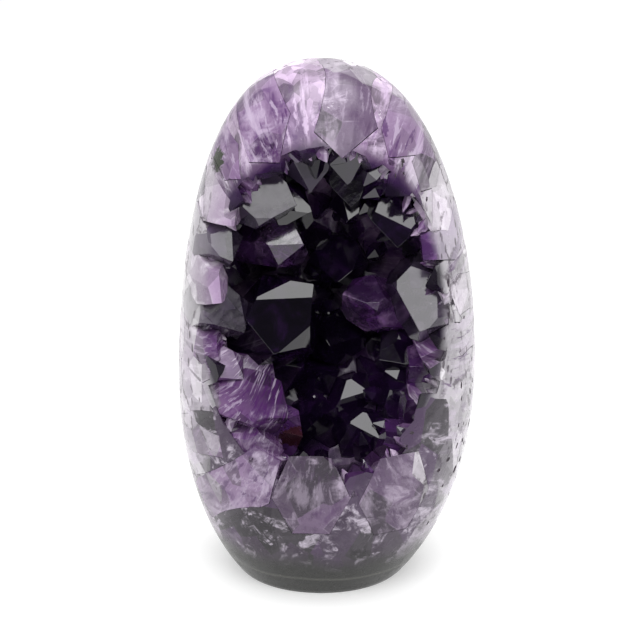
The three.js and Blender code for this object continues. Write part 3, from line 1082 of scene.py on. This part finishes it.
@dataclass
class Stone:
    """The quartz body with its druse.

    The pits' heights and sizes are in millimetres, and their angles in degrees about the upright axis,
    from +X: the least, the most and the likeliest.
    """

    egg: Piece
    flatness: float = 0.5
    seed: int = 9
    pits: int = 260
    pit_heights: Step = (14, 98)
    pit_angles: Triple = (-70, 235, -25)
    pit_lean: float = 0.5
    pit_roll: float = 0.2
    pit_depth: float = 0.3
    pit_widths: Step = (0.16, 0.4)
    pit_widenings: tuple[int, ...] = (1, 1, 2)
    pit_lengths: Step = (0.4, 1.3)

    def pit_cutters(self) -> Piece:
        """Slim pebbles that lie in the polish of both sides and the back, most of them at the right.

        Returns:
            The pebbles, joined.
        """
        chance = random.Random(self.seed)
        outline = PolishedEgg()
        deselect_everything()
        bpy.ops.mesh.primitive_ico_sphere_add(subdivisions=1, radius=1.0 * MM, location=(0, 0, 0))
        model = bpy.context.object
        cutters = []
        for _ in range(self.pits):
            z = chance.uniform(*self.pit_heights) * MM
            angle = math.radians(chance.triangular(*self.pit_angles))
            pit = spawn(model)
            pit.location = outline.surface(z, angle)
            lean = chance.uniform(-self.pit_lean, self.pit_lean)
            pit.rotation_euler = (lean, chance.uniform(-self.pit_roll, self.pit_roll), angle)
            width = chance.uniform(*self.pit_widths) * chance.choice(self.pit_widenings)
            pit.scale = (self.pit_depth, width, chance.uniform(*self.pit_lengths))
            cutters.append(pit)
        bpy.data.objects.remove(model)
        return join(cutters, "pit_cutters")

    def build(self, node: Piece) -> Piece:
        """Makes the piece that stands for the stone.

        Args:
            node: The stone's CAD node.

        Returns:
            The stone, polished and pitted.
        """
        piece = copy_of_node(node, "stone", self.flatness)
        boolean(piece, self.egg, "INTERSECT")
        dress(piece, StoneFinish().build())
        cutters = self.pit_cutters()
        dress(cutters, PitFinish().build())
        boolean(piece, cutters, "DIFFERENCE", "EXACT", "TRANSFER")
        bpy.data.objects.remove(cutters)
        smooth(piece)
        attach(piece, BODY)
        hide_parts(node.name)
        return piece


# ---------------------------------------------------------------- the studio


@dataclass(frozen=True)
class Lamp:
    """A soft light that looks at the stone."""

    name: str
    place: Vector
    size: Step
    power: float


LAMPS = (
    Lamp("soft_box", Vector((0.02, -0.05, 0.62)), (0.60, 0.44), 4.2),
    Lamp("front_box", Vector((0.0, -0.42, 0.50)), (0.80, 0.30), 3.0),
)


@dataclass
class Studio:
    """The floor, the lights and the camera.

    Attributes:
        dimming: From where to where the surroundings brighten, along Y.
        strengths: How strong they are at those two.
    """

    target: Vector = field(default_factory=lambda: Vector((-1.4, 0.0, 56.3)) * MM)
    distance: float = 0.50
    elevation: float = 22.0
    view_width: float = 133.6 * MM
    sensor: float = 36.0
    nearest: float = 0.01
    floor_radius: float = 3.0
    dimming: Step = (-0.55, 0.25)
    strengths: Step = (0.08, 1.0)

    def floor(self) -> None:
        """Lays the floor."""
        deselect_everything()
        bpy.ops.mesh.primitive_circle_add(vertices=96, radius=self.floor_radius, fill_type="NGON",
                                          location=(0, 0, 0))
        floor = bpy.context.object
        floor.name = "studio_floor"
        floor.data.materials.append(FloorFinish().build())

    def hang(self, lamp: Lamp) -> None:
        """Hangs a lamp."""
        deselect_everything()
        bpy.ops.object.light_add(type="AREA", location=lamp.place)
        light = bpy.context.object
        light.name = lamp.name
        light.data.shape = "RECTANGLE"
        light.data.size, light.data.size_y = lamp.size
        light.data.energy = lamp.power
        light.rotation_euler = (self.target - lamp.place).to_track_quat("-Z", "Y").to_euler()

    def world(self) -> None:
        """Surrounds the stone with white, dimmer in front where the dark of the room shows in its faces."""
        world = bpy.data.worlds.new("studio_world")
        world.use_nodes = True
        bpy.context.scene.world = world
        nodes, links = world.node_tree.nodes, world.node_tree.links
        split = nodes.new("ShaderNodeSeparateXYZ")
        links.new(nodes.new("ShaderNodeTexCoord").outputs["Generated"], split.inputs[0])
        dimmer = nodes.new("ShaderNodeMapRange")
        dimmer.interpolation_type = "SMOOTHSTEP"
        names = ("From Min", "From Max", "To Min", "To Max")
        for name, number in zip(names, (*self.dimming, *self.strengths)):
            dimmer.inputs[name].default_value = number
        links.new(split.outputs["Y"], dimmer.inputs["Value"])
        around = nodes.new("ShaderNodeBackground")
        links.new(dimmer.outputs[0], around.inputs["Strength"])
        # The camera itself sees plain white.
        backdrop = nodes["Background"]
        backdrop.inputs["Color"].default_value = (1, 1, 1, 1)
        mix = nodes.new("ShaderNodeMixShader")
        links.new(nodes.new("ShaderNodeLightPath").outputs["Is Camera Ray"], mix.inputs[0])
        links.new(around.outputs[0], mix.inputs[1])
        links.new(backdrop.outputs[0], mix.inputs[2])
        links.new(mix.outputs[0], nodes["World Output"].inputs["Surface"])

    def camera(self) -> None:
        """Sets up the camera, level and looking slightly down."""
        tilt = math.radians(self.elevation)
        back = Vector((0, -math.cos(tilt), math.sin(tilt)))
        deselect_everything()
        bpy.ops.object.camera_add(location=self.target + back * self.distance)
        camera = bpy.context.object
        camera.rotation_euler = (-back).to_track_quat("-Z", "Y").to_euler()
        camera.data.sensor_width = self.sensor
        camera.data.lens = self.sensor * self.distance / self.view_width
        camera.data.clip_start = self.nearest
        bpy.context.scene.camera = camera

    def build(self) -> None:
        """Sets up everything."""
        self.floor()
        for lamp in LAMPS:
            self.hang(lamp)
        self.world()
        self.camera()
        bpy.context.scene.view_settings.view_transform = "Standard"


def small_points(egg: Piece) -> tuple[PointField, PointField]:
    """The dark points between the large ones, and the pale ones along the rim."""
    fine = PointField(
        egg, "fine_points", (Tone.NIGHT,), count=110, seed=5, widths=(2.6 * MM, 5.2 * MM), stoutest=1.2,
        lean=0.5, flatness=1.0, depth=3.5 * MM, margin=3.6 * MM, band=0.0, root_depth=1.5 * MM,
    )
    rim = PointField(
        egg, "rim_points", (Tone.FROSTED, Tone.LILAC, Tone.LILAC, Tone.PLUM, Tone.SLATE), count=3600,
        seed=17, widths=(1.0 * MM, 2.9 * MM), stoutest=1.5, lean=0.8, flatness=0.45, depth=2.2 * MM,
        margin=1.9 * MM, band=2.4 * MM, root_depth=0.3 * MM,
    )
    return fine, rim


def main() -> None:
    """Builds the geode around its frame, piece by piece."""
    logging.basicConfig(level=logging.INFO, format="%(name)s: %(message)s")
    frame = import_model()
    Studio().build()
    egg = PolishedEgg().build()
    pieces = [Stone(egg).build(frame["nodes"][STONE_NODE])]
    points = LargePoints(egg)
    for name in sorted(frame["nodes"]):
        if name.startswith(POINT_PREFIX):
            pieces.append(points.build_one(frame["nodes"][name]))
    for small in small_points(egg):
        pieces.append(small.build([points.finish(tone) for tone in small.tones]))
    for piece in pieces:
        LOG.info("%s has %d faces", piece.name, len(piece.data.polygons))
    bpy.data.objects.remove(egg)


if __name__ == "__main__":
    main()
